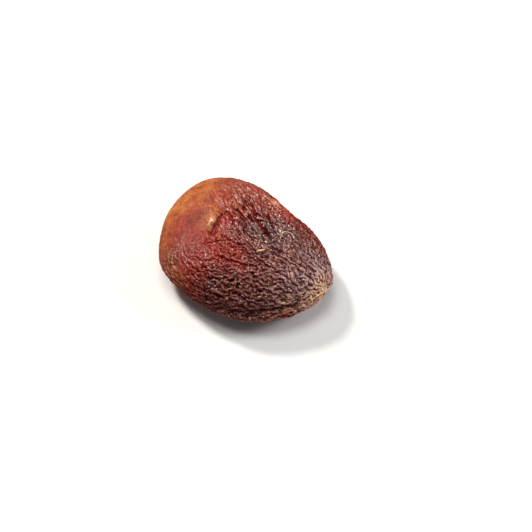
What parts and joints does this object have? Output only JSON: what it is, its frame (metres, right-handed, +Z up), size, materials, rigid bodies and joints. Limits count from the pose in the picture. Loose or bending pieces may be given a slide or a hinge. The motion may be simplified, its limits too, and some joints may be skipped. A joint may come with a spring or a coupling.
{
  "type": "dried apricot",
  "caption": "Whole stoned brown dried apricot lying flat, plump at its blunt end and wrinkled towards its stem end, with a rolled lip along one side.",
  "frame": {"origin": "under the middle of the fruit, on the surface it rests on", "axes": "+X along the fruit to its stem end, +Z up through its flat thickness, -Z down to the resting face"},
  "size_m": [0.0418, 0.0328, 0.0155],
  "materials": {
    "dried_skin": "dried fruit skin, waxy and wrinkled, orange at the plump end and brown-purple towards the stem end"
  },
  "bodies": {
    "root": {"dried_apricot": "dried_skin"}
  },
  "joints": []
}
